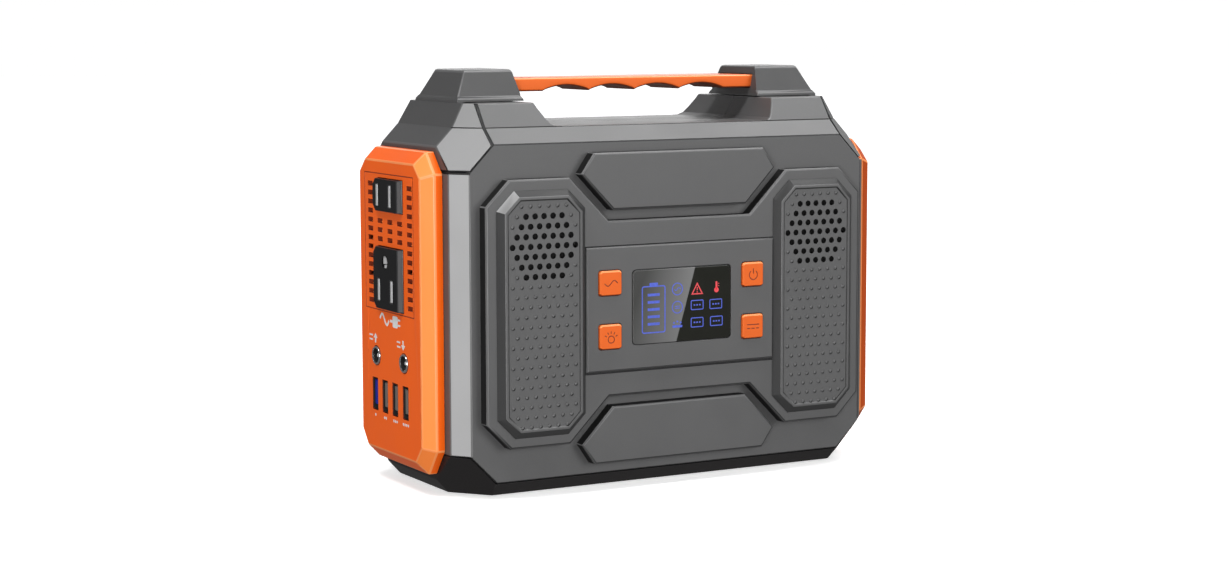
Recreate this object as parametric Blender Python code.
"""A portable power station: a grey case with raised front fields, orange end panels and a carrying handle.

Metres, +Z up. X runs along the front, the front faces -Y, and the origin is under the middle of the case.
Every piece that could come off on a bench is one closed solid in its own object.
"""

import math

import bmesh
import bpy
from mathutils import Vector

# Reach of cutting tools and half-spaces, well clear of every piece
FAR = 0.2
OUTSIDE_X = 0.113
OUTSIDE_Y = 0.060
ABOVE_Z = 0.170
BELOW_Z = -0.010
OVERLAP = 0.001
SNAP = 1e-7
START_SIZE = 0.5

# Driving dimensions
GAP = 0.0003
WALL = 0.0024
FOOT_PROUD = 0.0006
HALF_LENGTH = 0.100
HALF_DEPTH = 0.04527
DECK_Z = 0.1499
SHOULDER_Z = 0.1595
TOWER_TOP_Z = 0.17276
FACE_MIDDLE_Z = 0.0754
FIELD_HEIGHT = 0.0057
PAD_HEIGHT = 0.0033
PANEL_RAISE = 0.0012
END_PANEL_DEPTH = 0.009
SEAM_HALF = GAP / 2

FIELD_Y = HALF_DEPTH + FIELD_HEIGHT
PAD_Y = FIELD_Y + PAD_HEIGHT
PANEL_Y = FIELD_Y + PANEL_RAISE
END_FACE_X = HALF_LENGTH + END_PANEL_DEPTH
MIDDLE = Vector((0, 0, FACE_MIDDLE_Z))

# Case corners, each as a pair of (across, up) points that its flat passes through
CORNER_EDGE = ((0.09394, 0.04527), (0.100, 0.03791))
TOP_FRONT = ((0.04527, 0.1435), (0.0375, 0.1499))
TOP_END = ((0.100, 0.1425), (0.0928, 0.1499))
BOTTOM_FRONT = ((0.04527, 0.00648), (0.03848, 0.0))
BOTTOM_END = ((0.100, 0.0065), (0.09406, 0.0))
CAP_SEAM_X = 0.0835
CAP_SEAM_LOW = (0.09394, 0.13275)
TRAY_SEAM_HIGH = (0.09394, 0.01811)
TRAY_SEAM_LOW = (0.0829, 0.0065)
SEAM_END_X = HALF_LENGTH + OVERLAP

# Shoulders under the towers: points on the front slope, end slope, corner facet and coved inner end
SHOULDER_ROOT_Z = 0.1482
SHOULDER_NEAR_X = 0.0480
SHOULDER_FRONT = ((0.0375, DECK_Z), (0.0304, SHOULDER_Z))
SHOULDER_END = ((0.0928, 0.1499), (0.0874, 0.1596))
SHOULDER_CORNER = ((0.0928, 0.0264), (0.0837, 0.0375), (0.0874, 0.0253))
SHOULDER_COVE = ((0.0507, 0.1500), (0.0530, 0.1512), (0.0546, 0.1534), (0.0566, 0.1570), (0.0576, 0.1595))
COVE_NEAR_X = 0.0400

# Openings in the shells: half width, then low and high
UNDER_TOWER_X = (0.0590, 0.0810)
UNDER_TOWER_HALF = 0.0220
UNDER_TOWER_Z = (0.1400, 0.1568)
END_WINDOW_HALF = 0.0285
END_WINDOW_Z = (0.0250, 0.1265)
BEHIND_FACE_Y = 0.0400

# Raised fields of the front face, as (x, height above the face's middle)
FIELD_QUARTER = ((0.0339, 0.0362), (0.0520, 0.0544), (0.0792, 0.0544), (0.0897, 0.0438))
FIELD_EDGE = 0.0007
FIELD_ROOT = 0.0010
BAR_TOP = ((0.0320, 0.0404), (0.0465, 0.0555), (0.0406, 0.0640))
PAD_MIDDLE_X = 0.0653
PAD_HALF = (0.0200, 0.0500)
PAD_CORNER = 0.0079
PAD_SLOPE = 0.0025
PAD_RIM = 0.0012
PAD_RIM_STEP = 0.0004
PAD_THICK = 0.0020
PAD_SKIRT = 0.0045
PAD_SKIRT_WALL = 0.0014
PAD_SKIRT_DEPTH = 0.0045
HOLE_PITCH = 0.00405
HOLE_RADIUS = 0.00115
HOLE_SIDES = 6
HOLE_ROWS = (5, 6, 7, 8, 7, 6, 5)
HOLE_FIRST_UP = 0.0397

# Control panel and what it carries
PANEL_HALF = (0.0450, 0.0256)
PANEL_THICK = 0.0024
PANEL_EDGE = 0.0005
PANEL_GROOVE = (0.0010, 0.0005)
PANEL_LEDGE = 0.0030
BUTTON_SIZE = 0.0103
BUTTON_PROUD = 0.0010
BUTTON_CLEAR = 0.00025
BUTTON_EDGE = 0.0005
BUTTON_CORNER = 0.0012
FLANGE_SPREAD = 0.0012
FLANGE_THICK = 0.0010
FLANGE_NECK = 0.0004
STEM_RADIUS = 0.0017
BUTTON_X = 0.0343
BUTTON_UP = (0.0108, -0.0113)
DISPLAY_HALF = (0.0236, 0.01535)
DISPLAY_CORNER = 0.0018
DISPLAY_THICK = 0.0013
DISPLAY_PROUD = 0.0001
DISPLAY_LEDGE = 0.0020
MODULE_INSET = 0.0006
SWITCH_FRONT_Y = 0.0462
SWITCH_HALF = 0.0031
SWITCH_WELL = (0.0021, 0.0020)
STEM_OVERLAP = 0.0002
CONTROL_BOARD_Y = 0.0430
CONTROL_BOARD_HALF = (0.0405, 0.0215)
CONTROL_CHIP_X = (0.0040, 0.0140)
CONTROL_CHIP_Z = (0.0700, 0.0800)
CONTROL_CHIP_THICK = 0.0018

# End panels, as octagons of (half width, low, high, corner half width, corner low, corner high)
END_BASE = (0.0332, 0.0195, 0.1317, 0.0251, 0.0090, 0.1405)
END_FACE = (0.0300, 0.0210, 0.1300, 0.0243, 0.0144, 0.1354)
END_RIM_X = 0.10365
END_WALL = 0.0022
TOOL_BACK_X = 0.1040
VENT_COLUMNS = (0.0188, 0.0091, -0.0008, -0.0106, -0.0203)
VENT_PITCH = 0.00375
VENT_TOP_Z = 0.1255
VENT_ROWS = 14
VENT_SIZE = (0.0048, 0.0020)
VENT_MIDDLE_ROWS = (4, 5, 6)
OUTLET_PROUD = 0.0018
OUTLET_SLANT = 0.0020
OUTLET_EDGE = 0.0004
OUTLET_DEPTH = 0.0075
OUTLET_Y = (-0.0137, 0.0132)
UPPER_OUTLET_Z = (0.1148, 0.1282)
LOWER_OUTLET_Z = (0.0743, 0.1000)
OUTLET_CORNER = 0.0026
BLADE_SIZE = (0.0022, 0.0090)
SLOT_BACK_X = 0.0965
CONTACT_X = (0.0950, 0.1012)
CONTACT_GROWTH = (0.0020, 0.0010)
GROUND_CONTACT = (0.0060, 0.0060)
GROUND_RADIUS = 0.0029
UPPER_BLADES = ((0.0084, 0.1213), (-0.0043, 0.1213))
LOWER_BLADES = ((0.0074, 0.0822), (-0.0053, 0.0822))
LOWER_GROUND = (0.00105, 0.0938)
JACK_Y = (0.0144, -0.0134)
JACK_Z = 0.0536
JACK_RADIUS = 0.0040
JACK_BORE = 0.0030
JACK_EDGE = 0.0003
JACK_PROUD = (0.0002, 0.0006)
JACK_BACK_X = 0.0960
JACK_BORE_X = 0.0980
PIN_RADII = (0.0005, 0.0010)
PIN_X = (0.0983, 0.1080, 0.1086)
PORT_Y = (0.0161, 0.0060, -0.0042, -0.0146)
PORT_Z = 0.0373
PORT_SIZE = (0.0050, 0.0132)
PORT_INSET = 0.0001
PORT_WALL = 0.0004
PORT_BACK_X = 0.0955
PORT_MOUTH_X = 0.0970
TONGUE_X = (0.0966, 0.1075)
TONGUE_Y = (0.0022, 0.0040)
TONGUE_HALF = 0.0052

# Towers and handle
TOWER_RINGS = (
    (0.15985, 0.0569, 0.0873, 0.0202),
    (0.1608, 0.0569, 0.0870, 0.0202),
    (0.1621, 0.0575, 0.0863, 0.0187),
    (0.1720, 0.0594, 0.0813, 0.0142),
    (TOWER_TOP_Z, 0.0601, 0.0805, 0.0132),
)
TOWER_HOLLOW_X = (0.0605, 0.0795)
TOWER_HOLLOW_HALF = 0.0125
TOWER_HOLLOW_Z = (0.1550, 0.1700)
NECK_X = (0.0838, 0.0873)
NECK_HALF = 0.0202
NECK_Z = (0.1560, 0.1606)
HANDLE_SLOT_X = (0.0550, 0.0630)
HANDLE_HALF = 0.0625
HANDLE_Y = 0.0128
HANDLE_Z = (0.1634, 0.1690)
SCALLOP_PITCH = 0.0220
SCALLOP_DEPTH = 0.0023
SCALLOP_FULLNESS = 0.8
SCALLOP_STEPS = 6
SCALLOPS = 4
HANDLE_EDGE = 0.0010
HANDLE_SLOTS = 3
HANDLE_SLOT_FIRST = 0.0475
HANDLE_SLOT_PITCH = 0.0042
HANDLE_SLOT_HALF = (0.0008, 0.0095)
HANDLE_SLOT_DEPTH = 0.0010

# Fan and lamp behind the right end panel
FAN_Z = 0.103
FAN_X = (0.0800, 0.0950)
FAN_HALF = 0.0260
FAN_RADIUS = 0.0238
FAN_SLOTS = 11
FAN_SLOT_PITCH = 0.0046
FAN_SLOT_HALF = 0.0012
FAN_SLOT_RIB = 0.0015
FAN_SLOT_LEAST = 0.0060
THROAT_CLEAR = 0.0008
SPIDER_THICK = 0.0020
SPIDER_RADIUS = 0.0092
SPIDER_ARM = 0.12
SPIDER_STEPS = 5
SPINDLE_RADIUS = 0.0020
SPINDLE_LENGTH = 0.0080
HUB_RADIUS = 0.0088
HUB_CLEAR = (0.0028, 0.0015)
HUB_BORE = (0.00205, 0.0085)
FAN_BLADES = 7
BLADE_SECTIONS = ((0.0080, 0.75), (0.0155, 0.55), (0.0230, 0.42))
BLADE_ROOT = 0.0080
BLADE_HALF_CHORD = 0.0040
BLADE_FLARE = 0.16
BLADE_HALF_THICK = 0.0006
LAMP_Z = 0.044
LAMP_HALF = (0.0190, 0.0125)
LAMP_CORNER = 0.0030
LAMP_CROWN = 0.0022
LAMP_SHOULDER = 0.0010
LAMP_FLANGE = (0.0020, 0.0010)
REFLECTOR_DEPTH = 0.0062
REFLECTOR_WELL = 0.0052
REFLECTOR_OUTER = 0.0015
REFLECTOR_RIM = 0.0007
REFLECTOR_FLOOR = -0.0040
LAMP_BOARD_HALF = (0.0200, 0.0135)

# Base tray
TRAY_FLOOR_Z = FOOT_PROUD + WALL
FOOT_AT = (0.0760, 0.0250)
FOOT_RADIUS = 0.0062
FOOT_SINK = 0.0008
SCREW_RADIUS = 0.0014
SCREW_HEAD = 0.0026
SCREW_HEAD_Z = 0.0003
SCREW_OVERLAP = 0.0004
SCREW_TOP_Z = 0.0098
BOSS_RADIUS = 0.0042
BOSS_TOP_Z = 0.0105
BOARD_POST_X = (-0.076, 0.074)
BOARD_POST_Y = 0.0375
BOARD_POST_HALF = (0.0030, 0.0025)

# Battery pack and boards, each board as low and high corners across it
CELL_RADIUS = 0.0098
CELL_ROWS = 3
CELLS_ACROSS = 7
CELL_STEPS = 5
CELL_BULGE = 0.0026
CELL_SPREAD = 0.98
BATTERY_HALF_DEPTH = 0.0345
BATTERY_LOW_Z = TRAY_FLOOR_Z + GAP
BATTERY_HIGH_Z = BATTERY_LOW_Z + CELL_ROWS * 2 * CELL_RADIUS
BMS_Z = BATTERY_HIGH_Z + GAP
BOARD_Z = 0.084
BOARD_THICK = 0.0016
BOARD_TOP_Z = BOARD_Z + BOARD_THICK + GAP
PORT_BOARD = ((-0.0200, 0.0265), (0.0210, 0.0620))
PORT_BOARD_X = (0.0936, 0.0952)
INVERTER_BOARD = ((-0.080, -0.0385), (0.078, 0.0405))
TRANSFORMER_CORE = ((-0.042, -0.012), (-0.006, 0.018), 0.034)
TRANSFORMER_COIL = ((-0.036, -0.017), (-0.012, 0.023), (0.006, 0.028))
HEATSINK_FINS = 7
HEATSINK_PITCH = 0.0048
HEATSINK_FIN = 0.0014
HEATSINK_X = (0.018, 0.062)
HEATSINK_LOW_Y = -0.016
HEATSINK_FLOOR = 0.0040
HEATSINK_HEIGHT = 0.0300
CAPACITOR_RADIUS = 0.0070
CAPACITOR_HEIGHT = 0.0280


# ---------------------------------------------------------------- materials
def material(name, colour, roughness, metallic=0.0):
    made = bpy.data.materials.new(name)
    made.use_nodes = True
    shader = made.node_tree.nodes["Principled BSDF"]
    shader.inputs["Base Color"].default_value = (*colour, 1.0)
    shader.inputs["Roughness"].default_value = roughness
    shader.inputs["Metallic"].default_value = metallic
    return made


def make_materials():
    return {
        "case_grey": material("case_grey", (0.115, 0.115, 0.118), 0.55),
        "cap_grey": material("cap_grey", (0.120, 0.120, 0.123), 0.52),
        "base_black": material("base_black", (0.022, 0.020, 0.020), 0.60),
        "orange": material("orange", (0.85, 0.16, 0.02), 0.42),
        "outlet_black": material("outlet_black", (0.018, 0.018, 0.020), 0.35),
        "glass_black": material("glass_black", (0.010, 0.010, 0.012), 0.08),
        "rubber": material("rubber", (0.015, 0.015, 0.015), 0.85),
        "steel": material("steel", (0.62, 0.62, 0.64), 0.25, 1.0),
        "brass": material("brass", (0.75, 0.55, 0.22), 0.30, 1.0),
        "aluminium": material("aluminium", (0.70, 0.71, 0.73), 0.35, 1.0),
        "board_green": material("board_green", (0.02, 0.16, 0.06), 0.45),
        "wrap_blue": material("wrap_blue", (0.03, 0.14, 0.42), 0.35),
        "ferrite": material("ferrite", (0.05, 0.05, 0.05), 0.70),
        "lens_clear": material("lens_clear", (0.85, 0.87, 0.88), 0.10),
    }


# ---------------------------------------------------------------- mesh helpers
def clear_scene():
    for item in list(bpy.data.objects):
        bpy.data.objects.remove(item)


def add_object(name, bm):
    bmesh.ops.recalc_face_normals(bm, faces=bm.faces)
    mesh = bpy.data.meshes.new(name)
    bm.to_mesh(mesh)
    bm.free()
    made = bpy.data.objects.new(name, mesh)
    bpy.context.scene.collection.objects.link(made)
    return made


def loft(name, rings):
    """A closed solid through rings with the same number of points, capped at both ends."""
    bm = bmesh.new()
    rows = [[bm.verts.new(point) for point in ring] for ring in rings]
    for low, high in zip(rows, rows[1:]):
        for i, vert in enumerate(low):
            j = (i + 1) % len(low)
            bm.faces.new((vert, low[j], high[j], high[i]))
    bm.faces.new(rows[0])
    bm.faces.new(rows[-1])
    return add_object(name, bm)


def along_x(outline, x):
    return [(x, y, z) for y, z in outline]


def along_y(outline, y):
    return [(x, y, z) for x, z in outline]


def along_z(outline, z):
    return [(x, y, z) for x, y in outline]


def rectangle(low, high):
    return [(low[0], low[1]), (high[0], low[1]), (high[0], high[1]), (low[0], high[1])]


def circle(centre, radius, sides):
    turns = [2 * math.pi * i / sides for i in range(sides)]
    return [(centre[0] + radius * math.cos(t), centre[1] + radius * math.sin(t)) for t in turns]


def rounded_rectangle(centre, half, radius, steps=3):
    points = []
    for quarter, (sx, sy) in enumerate(((1, 1), (-1, 1), (-1, -1), (1, -1))):
        middle = (centre[0] + sx * (half[0] - radius), centre[1] + sy * (half[1] - radius))
        for i in range(steps + 1):
            turn = math.pi / 2 * (quarter + i / steps)
            points.append((middle[0] + radius * math.cos(turn), middle[1] + radius * math.sin(turn)))
    return points


def offset(outline, inward):
    """The outline moved inward by a distance, with mitred corners; a negative distance moves it out."""
    area = sum(a[0] * b[1] - b[0] * a[1] for a, b in zip(outline, outline[1:] + outline[:1]))
    side = inward if area > 0 else -inward
    moved = []
    for i, point in enumerate(outline):
        before = (Vector(point) - Vector(outline[i - 1])).normalized()
        after = (Vector(outline[(i + 1) % len(outline)]) - Vector(point)).normalized()
        normal = (before.orthogonal() + after.orthogonal()) / (1 + before.dot(after))
        moved.append((point[0] + side * normal.x, point[1] + side * normal.y))
    return moved


def box(name, low, high):
    outline = rectangle(low[:2], high[:2])
    return loft(name, [along_z(outline, low[2]), along_z(outline, high[2])])


def cylinder(name, centre, radius, low, high, axis="z", sides=16):
    """A cylinder about an axis: centre is the pair of coordinates across it, low and high its ends."""
    place = {"x": along_x, "y": along_y, "z": along_z}[axis]
    outline = circle(centre, radius, sides)
    return loft(name, [place(outline, low), place(outline, high)])


def ring_pair(name, outline, inner, low, high, place):
    """A tube between two outlines with the same number of points, from low to high."""
    bm = bmesh.new()
    rows = [
        [bm.verts.new(point) for point in place(shape, level)]
        for shape, level in ((outline, low), (outline, high), (inner, high), (inner, low))
    ]
    for low_row, high_row in zip(rows, rows[1:] + rows[:1]):
        for i, vert in enumerate(low_row):
            j = (i + 1) % len(low_row)
            bm.faces.new((vert, low_row[j], high_row[j], high_row[i]))
    return add_object(name, bm)


def many(name, solids):
    """Several separate shapes in one mesh, used as one cutter."""
    bm = bmesh.new()
    for solid in solids:
        bm.from_mesh(solid.data)
        discard(solid)
    return add_object(name, bm)


def discard(item):
    mesh = item.data
    bpy.data.objects.remove(item)
    bpy.data.meshes.remove(mesh)


def combine(target, tool, operation):
    """Applies one exact Boolean to target and discards the tool."""
    modifier = target.modifiers.new(operation.lower(), "BOOLEAN")
    modifier.operation = operation
    modifier.solver = "EXACT"
    modifier.object = tool
    graph = bpy.context.evaluated_depsgraph_get()
    mesh = bpy.data.meshes.new_from_object(target.evaluated_get(graph))
    target.modifiers.clear()
    old = target.data
    target.data = mesh
    bpy.data.meshes.remove(old)
    discard(tool)
    return target


def cut(target, tool):
    return combine(target, tool, "DIFFERENCE")


def join(target, tool):
    return combine(target, tool, "UNION")


def keep(target, tool):
    return combine(target, tool, "INTERSECT")


def plane(p, q, r):
    """The plane through three points as (normal pointing away from the case's middle, distance)."""
    p, q, r = Vector(p), Vector(q), Vector(r)
    normal = (q - p).cross(r - p).normalized()
    if normal.dot(p - MIDDLE) < 0:
        normal.negate()
    return normal, normal.dot(p)


def four_ways(face):
    """A plane and its mirror images across X and Y."""
    normal, distance = face
    signs = ((1, 1), (1, -1), (-1, 1), (-1, -1))
    return [(Vector((sx * normal.x, sy * normal.y, normal.z)), distance) for sx, sy in signs]


def convex_solid(name, planes, inset=0.0):
    """The solid inside all the planes, each moved inward by inset."""
    bm = bmesh.new()
    bmesh.ops.create_cube(bm, size=START_SIZE)
    for normal, distance in planes:
        geometry = bm.verts[:] + bm.edges[:] + bm.faces[:]
        at = normal * (distance - inset)
        bmesh.ops.bisect_plane(bm, geom=geometry, dist=SNAP, plane_co=at, plane_no=normal, clear_outer=True)
        open_edges = [edge for edge in bm.edges if edge.is_boundary]
        if open_edges:
            bmesh.ops.contextual_create(bm, geom=open_edges)
    return add_object(name, bm)


def finish_piece(piece, slot, origin=None):
    """Gives the piece its material and smooth round faces, and its origin at its middle or on its joint."""
    piece.data.materials.clear()
    piece.data.materials.append(slot)
    corners = [Vector(corner) for corner in piece.bound_box]
    place = Vector(origin) if origin else sum(corners, Vector()) / len(corners)
    for vert in piece.data.vertices:
        vert.co -= place
    piece.location = place
    piece.data.shade_smooth()
    piece.data.set_sharp_from_angle(angle=math.radians(30))
    return piece


# ---------------------------------------------------------------- case outline
def case_planes():
    planes = [
        (Vector((0, 0, 1)), DECK_Z),
        (Vector((0, 0, -1)), -FOOT_PROUD),
        (Vector((1, 0, 0)), HALF_LENGTH),
        (Vector((-1, 0, 0)), HALF_LENGTH),
        (Vector((0, 1, 0)), HALF_DEPTH),
        (Vector((0, -1, 0)), HALF_DEPTH),
    ]
    (edge_x, front_y), (end_x, edge_y) = CORNER_EDGE
    planes += four_ways(plane((edge_x, front_y, 0), (end_x, edge_y, 0), (end_x, edge_y, FAR)))
    for (y0, z0), (y1, z1) in (TOP_FRONT, BOTTOM_FRONT):
        planes += four_ways(plane((0, y0, z0), (FAR, y0, z0), (0, y1, z1)))
    for (x0, z0), (x1, z1) in (TOP_END, BOTTOM_END):
        planes += four_ways(plane((x0, 0, z0), (x0, FAR, z0), (x1, 0, z1)))
    top_seam = (CAP_SEAM_X, TOP_FRONT[0][1])
    for corner_z, (seam_x, seam_z) in ((CAP_SEAM_LOW[1], top_seam), (TRAY_SEAM_HIGH[1], TRAY_SEAM_LOW)):
        corner = (edge_x, front_y, corner_z)
        planes += four_ways(plane(corner, (end_x, edge_y, corner_z), (seam_x, front_y, seam_z)))
    return planes


def case_solid(name, inset=0.0):
    return convex_solid(name, case_planes(), inset)


def shoulder_solid(name, side):
    """The raised block under one tower: sloped faces, and a coved inner end."""
    (y0, low), (y1, high) = SHOULDER_FRONT
    front = plane((0, y0, low), (FAR, y0, low), (0, y1, high))
    (x0, z0), (x1, z1) = SHOULDER_END
    end = plane((x0, 0, z0), (x0, FAR, z0), (x1, 0, z1))
    a, b, c = SHOULDER_CORNER
    corner = plane((*a, z0), (*b, z0), (*c, z1))
    limits = [
        (Vector((0, 0, 1)), SHOULDER_Z),
        (Vector((0, 0, -1)), -SHOULDER_ROOT_Z),
        (Vector((-1, 0, 0)), -SHOULDER_NEAR_X),
    ]
    slopes = four_ways(front) + four_ways(end) + four_ways(corner)
    block = convex_solid(name, limits + [item for item in slopes if item[0].x >= -SNAP])
    first_z = SHOULDER_COVE[0][1]
    last_x = SHOULDER_COVE[-1][0]
    cove = [(COVE_NEAR_X, ABOVE_Z), (COVE_NEAR_X, first_z), *SHOULDER_COVE, (last_x, ABOVE_Z)]
    cut(block, loft("cove", [along_y(cove, -OUTSIDE_Y), along_y(cove, OUTSIDE_Y)]))
    if side < 0:
        mirror_x(block)
    return block


def mirror_x(item):
    for vert in item.data.vertices:
        vert.co.x = -vert.co.x
    item.data.flip_normals()
    return item


def mirror_y(item):
    for vert in item.data.vertices:
        vert.co.y = -vert.co.y
    item.data.flip_normals()
    return item


def shell_zone(name, low_y, high_y):
    """The space of the two shells: between the tray's seam and the end caps' seams."""
    s = SEAM_HALF
    right = [
        (TRAY_SEAM_LOW[0] - s, TRAY_SEAM_LOW[1] + s),
        (TRAY_SEAM_HIGH[0] - s, TRAY_SEAM_HIGH[1] + s),
        (SEAM_END_X, TRAY_SEAM_HIGH[1] + s),
        (SEAM_END_X, CAP_SEAM_LOW[1] - s),
        (CAP_SEAM_LOW[0] - s, CAP_SEAM_LOW[1] - s),
        (CAP_SEAM_X - s, TOP_FRONT[0][1] - s),
        (CAP_SEAM_X - s, ABOVE_Z),
    ]
    outline = right + [(-x, z) for x, z in reversed(right)]
    return loft(name, [along_y(outline, low_y), along_y(outline, high_y)])


def cap_zone(name, side):
    """The space of one end cap: above and outside its seam with the shells."""
    s = SEAM_HALF
    outline = [
        (SEAM_END_X, CAP_SEAM_LOW[1] + s),
        (SEAM_END_X, ABOVE_Z),
        (CAP_SEAM_X + s, ABOVE_Z),
        (CAP_SEAM_X + s, TOP_FRONT[0][1] + s),
        (CAP_SEAM_LOW[0] + s, CAP_SEAM_LOW[1] + s),
    ]
    outline = [(side * x, z) for x, z in outline]
    return loft(name, [along_y(outline, -OUTSIDE_Y), along_y(outline, OUTSIDE_Y)])


def tray_zone(name):
    """The space of the base tray: below and outside its seam with the shells."""
    s = SEAM_HALF
    right = [
        (SEAM_END_X, BELOW_Z),
        (SEAM_END_X, TRAY_SEAM_HIGH[1] - s),
        (TRAY_SEAM_HIGH[0] + s, TRAY_SEAM_HIGH[1] - s),
        (TRAY_SEAM_LOW[0] + s, TRAY_SEAM_LOW[1] - s),
    ]
    outline = right + [(-x, z) for x, z in reversed(right)]
    return loft(name, [along_y(outline, -OUTSIDE_Y), along_y(outline, OUTSIDE_Y)])


# ---------------------------------------------------------------- raised fields
def on_face(points):
    return [(x, FACE_MIDDLE_Z + up) for x, up in points]


def field_outline():
    quarter = list(FIELD_QUARTER)
    upper = quarter + [(x, -up) for x, up in reversed(quarter)]
    return on_face(upper + [(-x, -up) for x, up in upper])


def bar_outline(sign):
    right = [(x, sign * up) for x, up in BAR_TOP]
    return on_face(right + [(-x, up) for x, up in reversed(right)])


def pad_outline(side):
    half_x, half_up = PAD_HALF
    corner = PAD_CORNER
    quarter = ((half_x - corner, half_up), (half_x, half_up - corner))
    points = list(quarter) + [(x, -up) for x, up in reversed(quarter)]
    points += [(-x, -up) for x, up in quarter] + [(-x, up) for x, up in reversed(quarter)]
    return on_face([(side * PAD_MIDDLE_X + x, up) for x, up in points])


def raised(name, outline):
    """A raised field with a bevelled edge, rooted a little inside the case wall."""
    root = HALF_DEPTH - FIELD_ROOT
    rings = [
        along_y(outline, -root),
        along_y(outline, -(FIELD_Y - FIELD_EDGE)),
        along_y(offset(outline, FIELD_EDGE), -FIELD_Y),
    ]
    return loft(name, rings)


def make_shell(name, controls):
    """The front half of the case. The rear half is the same shape without the control panel's opening."""
    shell = case_solid(name)
    for side in (-1, 1):
        join(shell, shoulder_solid("shoulder", side))
    keep(shell, shell_zone("zone", -OUTSIDE_Y, -SEAM_HALF))
    join(shell, raised("field", field_outline()))
    for sign in (-1, 1):
        join(shell, raised("bar", bar_outline(sign)))
    cut(shell, case_solid("hollow", WALL))
    hollows = []
    for side in (-1, 1):
        low_x, high_x = mirrored(UNDER_TOWER_X, side)
        low_z, high_z = UNDER_TOWER_Z
        hollows.append(box("under", (low_x, -UNDER_TOWER_HALF, low_z), (high_x, OVERLAP, high_z)))
    for sign in (-1, 1):
        inside = offset(bar_outline(sign), WALL)
        ends = (FIELD_Y - WALL, BEHIND_FACE_Y)
        hollows.append(loft("behind_bar", [along_y(inside, -y) for y in ends]))
    for side in (-1, 1):
        inside = offset(pad_outline(side), PAD_SKIRT)
        ends = (OUTSIDE_Y, BEHIND_FACE_Y)
        hollows.append(loft("pad_hole", [along_y(inside, -y) for y in ends]))
    for side in (-1, 1):
        low_x, high_x = mirrored((HALF_LENGTH - 2 * WALL, SEAM_END_X), side)
        low_z, high_z = END_WINDOW_Z
        hollows.append(box("end_window", (low_x, -END_WINDOW_HALF, low_z), (high_x, OVERLAP, high_z)))
    cut(shell, many("hollows", hollows))
    if controls:
        groove_below, groove_above = PANEL_GROOVE
        low, high = panel_corners(0)
        seat = rectangle((low[0] - GAP, low[1] - groove_below), (high[0] + GAP, high[1] + groove_above))
        opening = rectangle(*panel_corners(PANEL_LEDGE))
        seat_y = PANEL_Y - PANEL_THICK - GAP
        cut(shell, loft("seat", [along_y(seat, -OUTSIDE_Y), along_y(seat, -seat_y)]))
        cut(shell, loft("opening", [along_y(opening, -seat_y - OVERLAP), along_y(opening, -BEHIND_FACE_Y)]))
    return shell


def mirrored(span, side):
    """A range of X on the given side of the middle, low end first."""
    return sorted((side * span[0], side * span[1]))


def panel_corners(inset):
    half_x, half_up = PANEL_HALF[0] - inset, PANEL_HALF[1] - inset
    return (-half_x, FACE_MIDDLE_Z - half_up), (half_x, FACE_MIDDLE_Z + half_up)


def make_pad(name, side, holes):
    """A grille pad: a sloped octagonal cover with a skirt that drops into the case's opening."""
    outline = pad_outline(side)
    floor_y = -(FIELD_Y + GAP)
    face = offset(outline, PAD_SLOPE)
    rim = offset(outline, PAD_SLOPE + PAD_RIM)
    recess = offset(outline, PAD_SLOPE + PAD_RIM + PAD_RIM_STEP)
    skirt = offset(outline, PAD_SKIRT + GAP)
    inside = offset(outline, PAD_SKIRT + GAP + PAD_SKIRT_WALL)
    back_y = -(FIELD_Y - PAD_SKIRT_DEPTH)
    rings = [
        along_y(recess, -(PAD_Y - PAD_RIM_STEP)),
        along_y(rim, -PAD_Y),
        along_y(face, -PAD_Y),
        along_y(outline, floor_y),
        along_y(skirt, floor_y),
        along_y(skirt, back_y),
        along_y(inside, back_y),
        along_y(inside, -(PAD_Y - PAD_THICK)),
    ]
    pad = loft(name, rings)
    if not holes:
        return pad
    drills = []
    for row, count in enumerate(HOLE_ROWS):
        up = HOLE_FIRST_UP - row * HOLE_PITCH
        for i in range(count):
            x = side * PAD_MIDDLE_X + (i - (count - 1) / 2) * HOLE_PITCH
            centre = (x, FACE_MIDDLE_Z + up)
            drills.append(cylinder("drill", centre, HOLE_RADIUS, -OUTSIDE_Y, -FIELD_Y, "y", HOLE_SIDES))
    return cut(pad, many("drills", drills))


# ---------------------------------------------------------------- case pieces
def make_base_tray():
    tray = case_solid("base_tray")
    keep(tray, tray_zone("zone"))
    cut(tray, case_solid("hollow", WALL))
    for sx in (-1, 1):
        for sy in (-1, 1):
            x, y = sx * FOOT_AT[0], sy * FOOT_AT[1]
            root_z = TRAY_FLOOR_Z - OVERLAP
            join(tray, cylinder("boss", (x, y), BOSS_RADIUS, root_z, BOSS_TOP_Z, "z", 12))
            hole_top = BOSS_TOP_Z + OVERLAP
            cut(tray, cylinder("screw_hole", (x, y), SCREW_RADIUS + GAP, BELOW_Z, hole_top, "z", 12))
            cut(tray, cylinder("foot_seat", (x, y), FOOT_RADIUS + GAP, BELOW_Z, FOOT_PROUD + FOOT_SINK))
    half_x, half_y = BOARD_POST_HALF
    for x in BOARD_POST_X:
        for sy in (-1, 1):
            y = sy * BOARD_POST_Y
            low = (x - half_x, y - half_y, TRAY_FLOOR_Z - OVERLAP)
            join(tray, box("post", low, (x + half_x, y + half_y, BOARD_Z - GAP)))
    return tray


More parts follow.
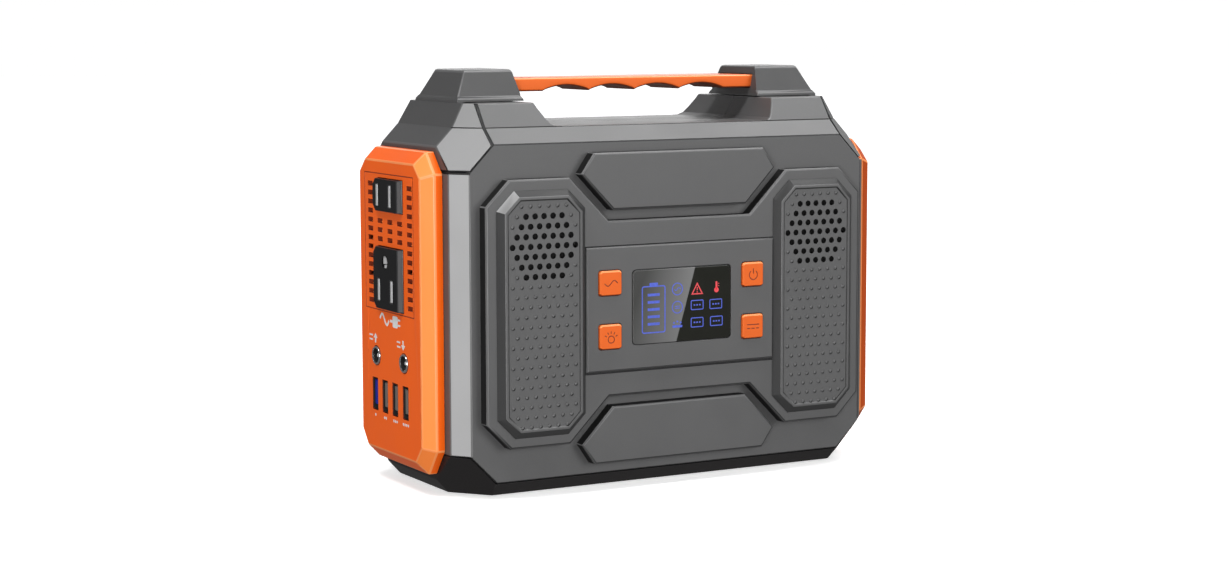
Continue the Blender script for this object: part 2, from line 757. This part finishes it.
def make_end_cap(name, side):
    """An end cap: the light corner facets, the top of the end wall and the tower over the shoulder."""
    cap = case_solid(name)
    join(cap, shoulder_solid("shoulder", side))
    keep(cap, cap_zone("zone", side))
    cut(cap, case_solid("hollow", WALL))
    rings = []
    for z, inner, outer, half in TOWER_RINGS:
        low_x, high_x = mirrored((inner, outer), side)
        rings.append(along_z(rectangle((low_x, -half), (high_x, half)), z))
    tower = loft("tower", rings)
    low_x, high_x = mirrored(TOWER_HOLLOW_X, side)
    low_z, high_z = TOWER_HOLLOW_Z
    cut(tower, box("hollow", (low_x, -TOWER_HOLLOW_HALF, low_z), (high_x, TOWER_HOLLOW_HALF, high_z)))
    join(cap, tower)
    low_x, high_x = mirrored(NECK_X, side)
    low_z, high_z = NECK_Z
    join(cap, box("neck", (low_x, -NECK_HALF, low_z), (high_x, NECK_HALF, high_z)))
    low_x, high_x = mirrored(HANDLE_SLOT_X, side)
    slot = rectangle((-(HANDLE_Y + GAP), HANDLE_Z[0] - GAP), (HANDLE_Y + GAP, HANDLE_Z[1] + GAP))
    cut(cap, loft("handle_slot", [along_x(slot, low_x), along_x(slot, high_x)]))
    return cap


def make_handle():
    """The grip bar, with four finger scallops under it and three small slots near each end."""
    low, high = HANDLE_Z
    half_span = SCALLOPS * SCALLOP_PITCH / 2
    under = [(-HANDLE_HALF, low), (-half_span, low)]
    for scallop in range(SCALLOPS):
        start = -half_span + scallop * SCALLOP_PITCH
        for i in range(1, SCALLOP_STEPS + 1):
            along = i / SCALLOP_STEPS
            rise = SCALLOP_DEPTH * abs(math.sin(math.pi * along)) ** SCALLOP_FULLNESS
            under.append((start + along * SCALLOP_PITCH, low + rise))
    under.append((HANDLE_HALF, low))
    edge = HANDLE_EDGE
    sections = []
    for x, bottom in under:
        section = [
            (-HANDLE_Y + edge, bottom),
            (HANDLE_Y - edge, bottom),
            (HANDLE_Y, bottom + edge),
            (HANDLE_Y, high - edge),
            (HANDLE_Y - edge, high),
            (-HANDLE_Y + edge, high),
            (-HANDLE_Y, high - edge),
            (-HANDLE_Y, bottom + edge),
        ]
        sections.append([(x, y, z) for y, z in section])
    handle = loft("carry_handle", sections)
    slots = []
    half_x, half_y = HANDLE_SLOT_HALF
    for side in (-1, 1):
        for i in range(HANDLE_SLOTS):
            x = side * (HANDLE_SLOT_FIRST + HANDLE_SLOT_PITCH * i)
            floor = (x - half_x, -half_y, high - HANDLE_SLOT_DEPTH)
            slots.append(box("slot", floor, (x + half_x, half_y, high + OVERLAP)))
    return cut(handle, many("slots", slots))


def end_octagon(sizes, inset=0.0):
    half, low, high, corner_half, corner_low, corner_high = sizes
    points = [
        (half, low),
        (half, high),
        (corner_half, corner_high),
        (-corner_half, corner_high),
        (-half, high),
        (-half, low),
        (-corner_half, corner_low),
        (corner_half, corner_low),
    ]
    return offset(points, inset) if inset else points


def end_panel_blank(name, side):
    """An end panel as a hollow cover, open towards the case."""
    x = [side * value for value in (HALF_LENGTH + GAP, END_RIM_X, END_FACE_X)]
    face_back = side * (END_FACE_X - END_WALL)
    rings = [
        along_x(end_octagon(END_FACE), x[2]),
        along_x(end_octagon(END_BASE), x[1]),
        along_x(end_octagon(END_BASE), x[0]),
        along_x(end_octagon(END_BASE, END_WALL), x[0]),
        along_x(end_octagon(END_BASE, END_WALL), x[1]),
        along_x(end_octagon(END_FACE, END_WALL), face_back),
    ]
    return loft(name, rings)


def vent_slot(y, z):
    half_y, half_z = VENT_SIZE[0] / 2, VENT_SIZE[1] / 2
    outline = rectangle((y - half_y, z - half_z), (y + half_y, z + half_z))
    return end_tool("vent", outline, -1)


def end_tool(name, outline, side):
    """A cutter through one end panel's face."""
    return loft(name, [along_x(outline, side * TOOL_BACK_X), along_x(outline, side * OUTSIDE_X)])


def outlet_outline(z_range, grow=0.0):
    """An outlet's outline: a rectangle with both rear corners cut off."""
    (y0, y1), (z0, z1) = OUTLET_Y, z_range
    c = OUTLET_CORNER
    points = [(y0, z0), (y1 - c, z0), (y1, z0 + c), (y1, z1 - c), (y1 - c, z1), (y0, z1)]
    return offset(points, -grow) if grow else points


def make_left_panel():
    panel = end_panel_blank("left_socket_panel", -1)
    tools = []
    for column, y in enumerate(VENT_COLUMNS):
        rows = range(VENT_ROWS) if column in (0, len(VENT_COLUMNS) - 1) else VENT_MIDDLE_ROWS
        for row in rows:
            tools.append(vent_slot(y, VENT_TOP_Z - row * VENT_PITCH))
    for z_range in (UPPER_OUTLET_Z, LOWER_OUTLET_Z):
        tools.append(end_tool("outlet_hole", outlet_outline(z_range, GAP), -1))
    for y in JACK_Y:
        tools.append(end_tool("jack_hole", circle((y, JACK_Z), JACK_RADIUS + GAP, 20), -1))
    for y in PORT_Y:
        half_y, half_z = PORT_SIZE[0] / 2 + GAP, PORT_SIZE[1] / 2 + GAP
        outline = rectangle((y - half_y, PORT_Z - half_z), (y + half_y, PORT_Z + half_z))
        tools.append(end_tool("port_hole", outline, -1))
    return cut(panel, many("left_tools", tools))


def make_right_panel():
    panel = end_panel_blank("right_fan_panel", 1)
    tools = []
    for row in range(FAN_SLOTS):
        up = (row - (FAN_SLOTS - 1) / 2) * FAN_SLOT_PITCH
        reach = math.sqrt(max(FAN_RADIUS**2 - up**2, 0))
        if reach < FAN_SLOT_LEAST:
            continue
        for low_y, high_y in ((-reach, -FAN_SLOT_RIB), (FAN_SLOT_RIB, reach)):
            low_z, high_z = FAN_Z + up - FAN_SLOT_HALF, FAN_Z + up + FAN_SLOT_HALF
            tools.append(end_tool("slot", rectangle((low_y, low_z), (high_y, high_z)), 1))
    tools.append(end_tool("window", lamp_outline(GAP, LAMP_CORNER), 1))
    return cut(panel, many("right_tools", tools))


# ---------------------------------------------------------------- control panel and buttons
def button_places():
    upper, lower = BUTTON_UP
    return {
        "ac_button": (-BUTTON_X, FACE_MIDDLE_Z + upper),
        "light_button": (-BUTTON_X, FACE_MIDDLE_Z + lower),
        "power_button": (BUTTON_X, FACE_MIDDLE_Z + upper),
        "dc_button": (BUTTON_X, FACE_MIDDLE_Z + lower),
    }


def make_control_panel():
    outline = rectangle(*panel_corners(0))
    rings = [
        along_y(outline, -(PANEL_Y - PANEL_THICK)),
        along_y(outline, -(PANEL_Y - PANEL_EDGE)),
        along_y(offset(outline, PANEL_EDGE), -PANEL_Y),
    ]
    panel = loft("control_panel", rings)
    tools = []
    half = BUTTON_SIZE / 2 + BUTTON_CLEAR
    for centre in button_places().values():
        outline = rounded_rectangle(centre, (half, half), BUTTON_CORNER, 2)
        tools.append(loft("button_hole", [along_y(outline, -OUTSIDE_Y), along_y(outline, -HALF_DEPTH)]))
    rebate = display_outline(GAP)
    rebate_y = PANEL_Y - DISPLAY_THICK - GAP
    tools.append(loft("rebate", [along_y(rebate, -OUTSIDE_Y), along_y(rebate, -rebate_y)]))
    cut(panel, many("tools", tools))
    window = display_outline(GAP - DISPLAY_LEDGE)
    return cut(panel, loft("view", [along_y(window, -OUTSIDE_Y), along_y(window, -HALF_DEPTH)]))


def display_outline(grow):
    half = (DISPLAY_HALF[0] + grow, DISPLAY_HALF[1] + grow)
    return rounded_rectangle((0, FACE_MIDDLE_Z), half, DISPLAY_CORNER, 3)


def make_display_window():
    outline = display_outline(0)
    front, back = PANEL_Y + DISPLAY_PROUD, PANEL_Y - DISPLAY_THICK
    return loft("display_window", [along_y(outline, -front), along_y(outline, -back)])


def make_button(name, centre):
    """A square cap with a retaining flange behind the panel and a stem that reaches its switch."""
    half = BUTTON_SIZE / 2
    front = PANEL_Y + BUTTON_PROUD
    flange_front = PANEL_Y - PANEL_THICK - GAP
    outline = rounded_rectangle(centre, (half, half), BUTTON_CORNER, 2)
    face = rounded_rectangle(centre, (half - BUTTON_EDGE, half - BUTTON_EDGE), BUTTON_CORNER - BUTTON_EDGE, 2)
    rings = [
        along_y(face, -front),
        along_y(outline, -(front - BUTTON_EDGE)),
        along_y(outline, -(flange_front - FLANGE_NECK)),
    ]
    button = loft(name, rings)
    spread = half + FLANGE_SPREAD
    flange = rounded_rectangle(centre, (spread, spread), BUTTON_CORNER, 2)
    flange_back = flange_front - FLANGE_THICK
    join(button, loft("flange", [along_y(flange, -flange_front), along_y(flange, -flange_back)]))
    stem_end = SWITCH_FRONT_Y - STEM_OVERLAP
    stem = cylinder("stem", centre, STEM_RADIUS, -(flange_back + FLANGE_NECK), -stem_end, "y", 12)
    return join(button, stem)


def make_switch(name, centre):
    """A button's switch: a square body on the control board with a well that the stem presses into."""
    x, z = centre
    half = SWITCH_HALF
    radius, depth = SWITCH_WELL
    low_y, high_y = -SWITCH_FRONT_Y, -(CONTROL_BOARD_Y + GAP)
    switch = box(name, (x - half, low_y, z - half), (x + half, high_y, z + half))
    return cut(switch, cylinder("well", centre, radius, low_y - OVERLAP, low_y + depth, "y", 12))


def make_control_board():
    half_x, half_up = CONTROL_BOARD_HALF
    back_y = CONTROL_BOARD_Y - BOARD_THICK
    low = (-half_x, -CONTROL_BOARD_Y, FACE_MIDDLE_Z - half_up)
    board = box("control_board", low, (half_x, -back_y, FACE_MIDDLE_Z + half_up))
    (x0, x1), (z0, z1) = CONTROL_CHIP_X, CONTROL_CHIP_Z
    chip_back = back_y - CONTROL_CHIP_THICK + OVERLAP / 2
    return join(board, box("chip", (x0, -(back_y + OVERLAP / 2), z0), (x1, -chip_back, z1)))


def make_display_module():
    half_x, half_up = DISPLAY_HALF[0] - MODULE_INSET, DISPLAY_HALF[1] - MODULE_INSET
    front = -(PANEL_Y - PANEL_THICK - GAP)
    return box(
        "display_module",
        (-half_x, front, FACE_MIDDLE_Z - half_up),
        (half_x, -(CONTROL_BOARD_Y + GAP), FACE_MIDDLE_Z + half_up),
    )


# ---------------------------------------------------------------- outlets, jacks and ports
def blade_hole(centre):
    y, z = centre
    half_y, half_z = BLADE_SIZE[0] / 2, BLADE_SIZE[1] / 2
    outline = rectangle((y - half_y, z - half_z), (y + half_y, z + half_z))
    return loft("blade", [along_x(outline, -OUTSIDE_X), along_x(outline, -SLOT_BACK_X)])


def make_outlet(name, z_range, blades, ground=None):
    """An outlet block: proud of the panel, its near side sloped back, with blade slots right through."""
    outline = outlet_outline(z_range)
    face = [(y + (OUTLET_SLANT if y == OUTLET_Y[0] else -OUTLET_EDGE), z) for y, z in outline]
    rings = [
        along_x(face, -(END_FACE_X + OUTLET_PROUD)),
        along_x(outline, -(END_FACE_X + OUTLET_EDGE)),
        along_x(outline, -(END_FACE_X - OUTLET_DEPTH)),
    ]
    outlet = loft(name, rings)
    tools = [blade_hole(centre) for centre in blades]
    if ground:
        tools.append(cylinder("ground", ground, GROUND_RADIUS, -OUTSIDE_X, -SLOT_BACK_X, "x", 12))
    return cut(outlet, many("blades", tools))


def make_contact(name, centre, size):
    """A contact strip standing behind its slot."""
    y, z = centre
    half_y, half_z = size[0] / 2, size[1] / 2
    back, front = CONTACT_X
    return box(name, (-front, y - half_y, z - half_z), (-back, y + half_y, z + half_z))


def make_jack(name, y):
    """A barrel socket: a metal cup with a closed back."""
    outline = circle((y, JACK_Z), JACK_RADIUS, 20)
    edge, front = JACK_PROUD
    rings = [
        along_x(circle((y, JACK_Z), JACK_RADIUS - JACK_EDGE, 20), -(END_FACE_X + front)),
        along_x(outline, -(END_FACE_X + edge)),
        along_x(outline, -JACK_BACK_X),
    ]
    jack = loft(name, rings)
    return cut(jack, cylinder("bore", (y, JACK_Z), JACK_BORE, -OUTSIDE_X, -JACK_BORE_X, "x", 20))


def make_jack_pin(name, y):
    """The pin in the middle of a jack, rounded at its tip."""
    tip, full = [circle((y, JACK_Z), radius, 10) for radius in PIN_RADII]
    back, shoulder, front = PIN_X
    return loft(name, [along_x(tip, -front), along_x(full, -shoulder), along_x(full, -back)])


def make_port(name, y):
    """A flat port: a metal shell round a tongue, closed at the back."""
    half_y, half_z = PORT_SIZE[0] / 2, PORT_SIZE[1] / 2
    front, back = -(END_FACE_X - PORT_INSET), -PORT_BACK_X
    shell = box(name, (front, y - half_y, PORT_Z - half_z), (back, y + half_y, PORT_Z + half_z))
    low = (-OUTSIDE_X, y - half_y + PORT_WALL, PORT_Z - half_z + PORT_WALL)
    high = (-PORT_MOUTH_X, y + half_y - PORT_WALL, PORT_Z + half_z - PORT_WALL)
    cut(shell, box("mouth", low, high))
    near, far = y - half_y + TONGUE_Y[0], y - half_y + TONGUE_Y[1]
    root, tip = TONGUE_X
    tongue = box("tongue", (-tip, near, PORT_Z - TONGUE_HALF), (-root, far, PORT_Z + TONGUE_HALF))
    return join(shell, tongue)


# ---------------------------------------------------------------- inside
def make_port_board():
    outline = rectangle(*PORT_BOARD)
    return loft("port_board", [along_x(outline, -x) for x in PORT_BOARD_X])


def make_battery():
    """The wrapped battery pack: a block whose top and bottom show the round cells under the wrap."""
    top, bottom = [], []
    for cell in range(CELLS_ACROSS):
        middle = CELL_RADIUS * (2 * cell + 1 - CELLS_ACROSS)
        for i in range(CELL_STEPS):
            turn = math.pi * (i + 0.5) / CELL_STEPS
            sink = CELL_BULGE * (1 - math.sin(turn))
            x = middle - CELL_RADIUS * math.cos(turn) * CELL_SPREAD
            top.append((x, BATTERY_HIGH_Z - sink))
            bottom.append((x, BATTERY_LOW_Z + sink))
    outline = top + list(reversed(bottom))
    half = BATTERY_HALF_DEPTH
    return loft("battery_pack", [along_y(outline, -half), along_y(outline, half)])


def make_bms():
    """The battery management board, with its chip and connector."""
    z = BMS_Z
    board = box("battery_management_board", (-0.045, -0.018, z), (0.030, 0.018, z + BOARD_THICK))
    join(board, box("chip", (-0.030, -0.008, z + OVERLAP), (-0.016, 0.006, z + 0.0038)))
    return join(board, box("connector", (0.010, -0.010, z + OVERLAP), (0.024, 0.000, z + 0.0070)))


def make_inverter_board():
    """The inverter board, with a relay and a terminal block at its left end."""
    z = BOARD_Z + OVERLAP
    (x0, y0), (x1, y1) = INVERTER_BOARD
    board = box("inverter_board", (x0, y0, BOARD_Z), (x1, y1, BOARD_Z + BOARD_THICK))
    join(board, box("relay", (-0.072, 0.010, z), (-0.052, 0.026, BOARD_Z + 0.016)))
    return join(board, box("terminal", (-0.074, -0.034, z), (-0.062, -0.006, BOARD_Z + 0.011)))


def make_transformer():
    """A transformer: a core with its wound coil standing out front and back."""
    z = BOARD_TOP_Z
    low, high, height = TRANSFORMER_CORE
    core = box("transformer", (*low, z), (*high, z + height))
    low, high, (foot, top) = TRANSFORMER_COIL
    return join(core, box("coil", (*low, z + foot), (*high, z + top)))


def make_heatsink():
    """An aluminium heatsink: a base with upright fins along the fan's air path."""
    z = BOARD_TOP_Z
    last = HEATSINK_LOW_Y + (HEATSINK_FINS - 1) * HEATSINK_PITCH
    outline = [(HEATSINK_LOW_Y, z), (last + HEATSINK_FIN, z)]
    for i in reversed(range(HEATSINK_FINS)):
        left = HEATSINK_LOW_Y + i * HEATSINK_PITCH
        outline += [(left + HEATSINK_FIN, z + HEATSINK_HEIGHT), (left, z + HEATSINK_HEIGHT)]
        if i:
            next_right = left - HEATSINK_PITCH + HEATSINK_FIN
            outline += [(left, z + HEATSINK_FLOOR), (next_right, z + HEATSINK_FLOOR)]
    return loft("heatsink", [along_x(outline, x) for x in HEATSINK_X])


def make_capacitor(name, x, y):
    top = BOARD_TOP_Z + CAPACITOR_HEIGHT
    return cylinder(name, (x, y), CAPACITOR_RADIUS, BOARD_TOP_Z, top, "z", 20)


def on_circle(radius, turn):
    """A point on a circle about the fan's axis."""
    return radius * math.cos(turn), FAN_Z + radius * math.sin(turn)


def make_fan_frame():
    """The fan's square frame: a round throat, a four-armed spider and the spindle on it."""
    low_x, high_x = FAN_X
    half = FAN_HALF
    outer = rectangle((-half, FAN_Z - half), (half, FAN_Z + half))
    frame = loft("fan_frame", [along_x(outer, low_x), along_x(outer, high_x)])
    throat = FAN_RADIUS + THROAT_CLEAR
    cut(frame, cylinder("throat", (0, FAN_Z), throat, low_x + SPIDER_THICK, high_x + OVERLAP, "x", 32))
    windows = []
    for i in range(4):
        start = math.pi / 2 * i + SPIDER_ARM
        span = math.pi / 2 - 2 * SPIDER_ARM
        arc = [start + span * k / SPIDER_STEPS for k in range(SPIDER_STEPS + 1)]
        outline = [on_circle(FAN_RADIUS, t) for t in arc]
        outline += [on_circle(SPIDER_RADIUS, t) for t in reversed(arc)]
        ends = (low_x - OVERLAP, low_x + SPIDER_THICK + OVERLAP)
        windows.append(loft("window", [along_x(outline, x) for x in ends]))
    cut(frame, many("windows", windows))
    tip_x = low_x + SPINDLE_LENGTH
    return join(frame, cylinder("spindle", (0, FAN_Z), SPINDLE_RADIUS, low_x + OVERLAP, tip_x, "x"))


def make_fan_rotor():
    """The rotor: a cup hub that runs on the frame's spindle, with seven pitched blades."""
    low_x, high_x = FAN_X[0] + HUB_CLEAR[0], FAN_X[1] - HUB_CLEAR[1]
    centre_x = (low_x + high_x) / 2
    rotor = cylinder("fan_rotor", (0, FAN_Z), HUB_RADIUS, low_x, high_x, "x", 24)
    bore, depth = HUB_BORE
    cut(rotor, cylinder("bore", (0, FAN_Z), bore, low_x - OVERLAP, FAN_X[0] + depth, "x"))
    edge = BLADE_HALF_THICK
    for i in range(FAN_BLADES):
        turn = 2 * math.pi * i / FAN_BLADES
        rings = []
        for radius, twist in BLADE_SECTIONS:
            half_chord = BLADE_HALF_CHORD + BLADE_FLARE * (radius - BLADE_ROOT)
            ring = []
            for along, thick in ((-1, 0.0), (0, edge), (1, 0.0), (0, -edge)):
                x = centre_x + along * half_chord * math.sin(twist) + thick * math.cos(twist)
                across = along * half_chord * math.cos(twist) - thick * math.sin(twist)
                y = radius * math.cos(turn) - across * math.sin(turn)
                z = radius * math.sin(turn) + across * math.cos(turn)
                ring.append((x, y, FAN_Z + z))
            rings.append(ring)
        join(rotor, loft("blade", rings))
    return rotor


def lamp_outline(grow, corner):
    return rounded_rectangle((0, LAMP_Z), (LAMP_HALF[0] + grow, LAMP_HALF[1] + grow), corner)


def make_lamp_lens():
    """The lamp's lens: a crowned window with a flange behind the end panel."""
    outline = lamp_outline(0, LAMP_CORNER)
    spread, thick = LAMP_FLANGE
    flange = lamp_outline(spread, LAMP_CORNER + OVERLAP)
    back = END_FACE_X - END_WALL - GAP
    rings = [
        along_x(lamp_outline(-LAMP_CROWN, LAMP_CORNER - OVERLAP), END_FACE_X + OUTLET_PROUD),
        along_x(outline, END_FACE_X + LAMP_SHOULDER),
        along_x(outline, back),
        along_x(flange, back),
        along_x(flange, back - thick),
    ]
    return loft("lamp_lens", rings)


def reflector_front():
    return END_FACE_X - END_WALL - GAP - LAMP_FLANGE[1] - GAP


def make_lamp_reflector():
    """A shallow reflector tray behind the lens, open towards it."""
    front = reflector_front()
    wide = lamp_outline(REFLECTOR_OUTER, LAMP_CORNER)
    rings = [
        along_x(wide, front - REFLECTOR_DEPTH),
        along_x(wide, front),
        along_x(lamp_outline(REFLECTOR_RIM, LAMP_CORNER), front),
        along_x(lamp_outline(REFLECTOR_FLOOR, LAMP_CORNER), front - REFLECTOR_WELL),
    ]
    return loft("lamp_reflector", rings)


def make_lamp_board():
    front = reflector_front() - REFLECTOR_DEPTH - GAP
    half_y, half_z = LAMP_BOARD_HALF
    low = (front - BOARD_THICK, -half_y, LAMP_Z - half_z)
    return box("lamp_board", low, (front, half_y, LAMP_Z + half_z))


def make_foot(name, x, y):
    """A rubber foot ring, with its screw's head sunk in the middle."""
    outer, inner = circle((x, y), FOOT_RADIUS, 16), circle((x, y), SCREW_HEAD + GAP, 16)
    return ring_pair(name, outer, inner, 0.0, FOOT_PROUD + FOOT_SINK - GAP, along_z)


def make_foot_screw(name, x, y):
    head_top = FOOT_PROUD + FOOT_SINK - GAP
    screw = cylinder(name, (x, y), SCREW_HEAD, SCREW_HEAD_Z, head_top)
    shank_low = head_top - SCREW_OVERLAP
    return join(screw, cylinder("shank", (x, y), SCREW_RADIUS, shank_low, SCREW_TOP_Z, "z", 10))


# ---------------------------------------------------------------- assembly
def build():
    clear_scene()
    slots = make_materials()
    rest = bpy.data.objects.new("power_station", None)
    bpy.context.scene.collection.objects.link(rest)
    pieces = []

    def add(piece, slot, origin=None):
        pieces.append(finish_piece(piece, slots[slot], origin))

    add(make_base_tray(), "base_black")
    add(make_shell("front_shell", True), "case_grey")
    add(mirror_y(make_shell("rear_shell", False)), "case_grey")
    add(make_end_cap("left_end_cap", -1), "cap_grey")
    add(make_end_cap("right_end_cap", 1), "cap_grey")
    add(make_handle(), "orange")
    add(make_left_panel(), "orange")
    add(make_right_panel(), "orange")
    for side, word in ((-1, "left"), (1, "right")):
        add(make_pad(f"{word}_front_grille", side, True), "case_grey")
        add(mirror_y(make_pad(f"{word}_rear_pad", side, False)), "case_grey")
    add(make_control_panel(), "case_grey")
    add(make_display_window(), "glass_black")
    add(make_display_module(), "outlet_black")
    add(make_control_board(), "board_green")
    for name, centre in button_places().items():
        x, z = centre
        add(make_button(name, centre), "orange", (x, -PANEL_Y, z))
        add(make_switch(name.replace("button", "switch"), centre), "outlet_black")
    add(make_outlet("upper_ac_outlet", UPPER_OUTLET_Z, UPPER_BLADES), "outlet_black")
    add(make_outlet("lower_ac_outlet", LOWER_OUTLET_Z, LOWER_BLADES, LOWER_GROUND), "outlet_black")
    contact_size = [size + growth for size, growth in zip(BLADE_SIZE, CONTACT_GROWTH)]
    for level, places in (("upper", UPPER_BLADES), ("lower", LOWER_BLADES)):
        for word, centre in zip(("line", "neutral"), places):
            add(make_contact(f"{level}_{word}_contact", centre, contact_size), "brass")
    add(make_contact("lower_ground_contact", LOWER_GROUND, GROUND_CONTACT), "brass")
    for word, y in zip(("output", "input"), JACK_Y):
        add(make_jack(f"dc_{word}_jack", y), "steel")
        add(make_jack_pin(f"dc_{word}_pin", y), "brass")
    for number, y in enumerate(PORT_Y, 1):
        add(make_port(f"port_{number}", y), "steel")
    add(make_port_board(), "board_green")
    add(make_battery(), "wrap_blue")
    add(make_bms(), "board_green")
    add(make_inverter_board(), "board_green")
    add(make_transformer(), "ferrite")
    add(make_heatsink(), "aluminium")
    add(make_capacitor("input_capacitor", 0.006, -0.027), "outlet_black")
    add(make_capacitor("output_capacitor", 0.006, 0.030), "outlet_black")
    add(make_fan_frame(), "outlet_black")
    add(make_fan_rotor(), "outlet_black", (sum(FAN_X) / 2, 0, FAN_Z))
    add(make_lamp_lens(), "lens_clear")
    add(make_lamp_reflector(), "aluminium")
    add(make_lamp_board(), "board_green")
    number = 0
    for sx in (-1, 1):
        for sy in (-1, 1):
            number += 1
            x, y = sx * FOOT_AT[0], sy * FOOT_AT[1]
            add(make_foot(f"foot_{number}", x, y), "rubber")
            add(make_foot_screw(f"foot_screw_{number}", x, y), "steel")
    for piece in pieces:
        piece.parent = rest


build()
